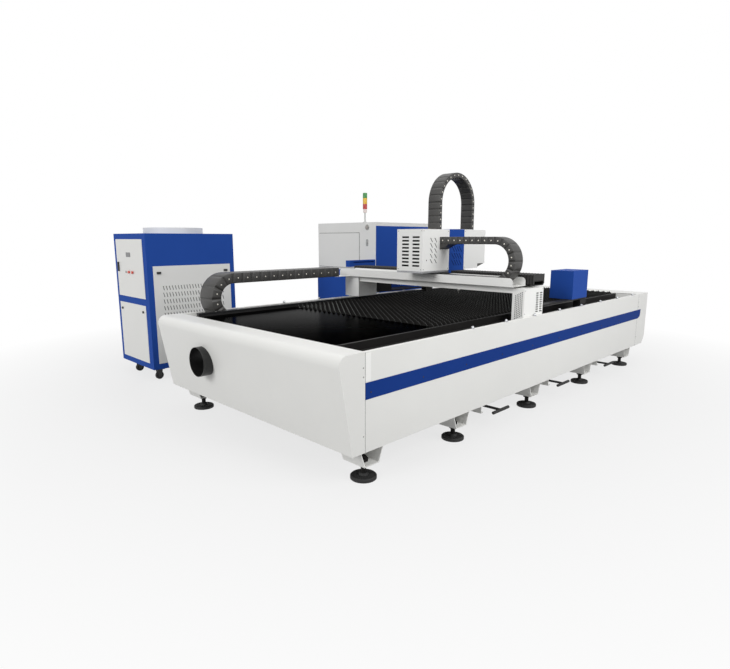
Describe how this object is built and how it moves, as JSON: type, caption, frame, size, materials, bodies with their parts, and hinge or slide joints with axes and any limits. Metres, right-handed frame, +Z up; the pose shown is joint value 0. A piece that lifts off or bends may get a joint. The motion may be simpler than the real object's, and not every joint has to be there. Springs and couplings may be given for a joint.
{
  "type": "laser cutting machine",
  "caption": "Open-bed sheet laser cutter: slatted table, moving gantry with cutting head, drag chains, slag trays, control cabinet with signal tower and a wheeled water chiller.",
  "frame": {"origin": "on the floor, below the middle of the outline box of bed, cabinet and chiller", "axes": "+X along the bed from the exhaust end to the rear end, +Y across the bed towards cabinet and chiller, +Z up"},
  "size_m": [4.799, 3.849, 1.9619],
  "materials": {
    "white_powder_coat": "satin",
    "blue_powder_coat": "satin",
    "chain_nylon": "matte",
    "blackened_steel": "matte",
    "gloss_black_plate": "gloss",
    "foot_rubber": "matte",
    "ground_steel": "ground",
    "signal_lens": "gloss",
    "black_fittings": "matte",
    "red_button": "gloss",
    "bellows_cloth": "matte",
    "castor_rubber": "matte"
  },
  "bodies": {
    "bed": {"side_frames": "white_powder_coat", "cross_members": "white_powder_coat", "front_end_cover": "white_powder_coat", "rear_end_cover": "white_powder_coat", "side_skins": "white_powder_coat", "side_stripes": "blue_powder_coat", "foot_brackets": "white_powder_coat", "levelling_feet": "foot_rubber", "exhaust_spigot": "blackened_steel", "slat_combs": "blackened_steel", "support_slats": "blackened_steel", "table_plates": "gloss_black_plate", "x_guide_rails": "blackened_steel", "ball_transfer_units": "ground_steel", "tray_runners": "white_powder_coat", "x_chain_lower_run": "chain_nylon", "cabinet_base": "blue_powder_coat", "cabinet_upper": "white_powder_coat", "cabinet_panels": "blue_powder_coat", "signal_tower": "signal_lens", "chiller_cabinet": "blue_powder_coat", "chiller_panels": "white_powder_coat", "black_fittings": "black_fittings", "chiller_fan_shroud": "white_powder_coat"},
    "tray_1": {"slag_tray_1": "blackened_steel"},
    "tray_2": {"slag_tray_2": "blackened_steel"},
    "tray_3": {"slag_tray_3": "blackened_steel"},
    "gantry": {"gantry_beam": "white_powder_coat", "gantry_posts": "blackened_steel", "beam_chain_trough": "white_powder_coat", "gantry_saddles": "blackened_steel", "near_leg_cover": "white_powder_coat", "far_leg_cover": "white_powder_coat", "motor_covers": "blue_powder_coat", "y_guide_rails": "ground_steel", "bellows_near": "bellows_cloth", "bellows_far": "bellows_cloth", "x_chain_upper_run": "chain_nylon", "y_chain_lower_run": "chain_nylon"},
    "x_loop": {"x_chain_loop": "chain_nylon"},
    "head": {"carriage_plate": "ground_steel", "carriage_cover": "white_powder_coat", "middle_cover": "blue_powder_coat", "axis_cover": "white_powder_coat", "y_chain_upper_run": "chain_nylon", "z_chain": "chain_nylon"},
    "y_loop": {"y_chain_loop": "chain_nylon"},
    "z_axis": {"z_slide": "ground_steel", "cutting_head": "ground_steel"},
    "cabinet_door": {"cabinet_door": "white_powder_coat"},
    "cabinet_knob": {"cabinet_knob": "black_fittings"},
    "chiller_door": {"chiller_upper_door": "white_powder_coat"},
    "chiller_button_1": {"chiller_button_1": "red_button"},
    "chiller_button_2": {"chiller_button_2": "red_button"},
    "chiller_fan": {"chiller_fan": "black_fittings"},
    "castor_1": {"castor_fork_1": "black_fittings"},
    "castor_2": {"castor_fork_2": "black_fittings"},
    "wheel_1": {"castor_wheel_1": "castor_rubber"},
    "wheel_2": {"castor_wheel_2": "castor_rubber"},
    "rear_wheels": {"rear_castor_wheels": "castor_rubber"}
  },
  "joints": [
    {"name": "gantry_travel", "type": "slide", "parent": "bed", "child": "gantry", "axis": [1, 0, 0], "range_m": [-0.29, 1.2], "deforming": ["x_chain_upper_run", "x_chain_lower_run"]},
    {"name": "x_loop_travel", "type": "slide", "parent": "gantry", "child": "x_loop", "axis": [1, 0, 0], "range_m": [-0.6, 0.145]},
    {"name": "head_travel", "type": "slide", "parent": "gantry", "child": "head", "axis": [0, 1, 0], "range_m": [-0.35, 0.6], "deforming": ["y_chain_upper_run", "y_chain_lower_run", "bellows_near", "bellows_far"]},
    {"name": "y_loop_travel", "type": "slide", "parent": "head", "child": "y_loop", "axis": [0, 1, 0], "range_m": [-0.3, 0.175]},
    {"name": "cutting_axis", "type": "slide", "parent": "head", "child": "z_axis", "axis": [0, 0, 1], "range_m": [-0.05, 0.03], "deforming": ["z_chain"]},
    {"name": "tray_1_pull", "type": "slide", "parent": "bed", "child": "tray_1", "axis": [0, -1, 0], "range_m": [0, 1.2]},
    {"name": "tray_2_pull", "type": "slide", "parent": "bed", "child": "tray_2", "axis": [0, -1, 0], "range_m": [0, 1.2]},
    {"name": "tray_3_pull", "type": "slide", "parent": "bed", "child": "tray_3", "axis": [0, -1, 0], "range_m": [0, 1.2]},
    {"name": "cabinet_door_hinge", "type": "hinge", "parent": "bed", "child": "cabinet_door", "pos_m": [0.298, 1.3845, 1.245], "axis": [0, 0, -1], "range_deg": [0, 110]},
    {"name": "cabinet_knob_turn", "type": "hinge", "parent": "bed", "child": "cabinet_knob", "pos_m": [0.3005, 0.5285, 1.513], "axis": [-1, 0, 0], "range_deg": [-45, 45]},
    {"name": "chiller_door_hinge", "type": "hinge", "parent": "bed", "child": "chiller_door", "pos_m": [-2.042, 1.2295, 1.091], "axis": [0, 0, 1], "range_deg": [0, 110]},
    {"name": "chiller_button_1_push", "type": "slide", "parent": "chiller_door", "child": "chiller_button_1", "axis": [1, 0, 0], "range_m": [0, 0.004], "stiffness_N_per_m": 400},
    {"name": "chiller_button_2_push", "type": "slide", "parent": "chiller_door", "child": "chiller_button_2", "axis": [1, 0, 0], "range_m": [0, 0.004], "stiffness_N_per_m": 400},
    {"name": "chiller_fan_spin", "type": "hinge", "parent": "bed", "child": "chiller_fan", "pos_m": [-1.5695, 1.5395, 1.453], "axis": [0, 0, 1], "continuous": true},
    {"name": "castor_1_swivel", "type": "hinge", "parent": "bed", "child": "castor_1", "pos_m": [-1.9645, 1.2125, 0.08], "axis": [0, 0, 1], "continuous": true},
    {"name": "castor_2_swivel", "type": "hinge", "parent": "bed", "child": "castor_2", "pos_m": [-1.9645, 1.6895, 0.08], "axis": [0, 0, 1], "continuous": true},
    {"name": "wheel_1_roll", "type": "hinge", "parent": "castor_1", "child": "wheel_1", "pos_m": [-1.9645, 1.2125, 0.04], "axis": [0, 1, 0], "continuous": true},
    {"name": "wheel_2_roll", "type": "hinge", "parent": "castor_2", "child": "wheel_2", "pos_m": [-1.9645, 1.6895, 0.04], "axis": [0, 1, 0], "continuous": true},
    {"name": "rear_wheels_roll", "type": "hinge", "parent": "bed", "child": "rear_wheels", "pos_m": [-1.1895, 1.451, 0.04], "axis": [0, 1, 0], "continuous": true}
  ],
  "couplings": [
    {"joint": "x_loop_travel", "follows": "gantry_travel", "ratio": -0.5},
    {"joint": "y_loop_travel", "follows": "head_travel", "ratio": -0.5}
  ]
}
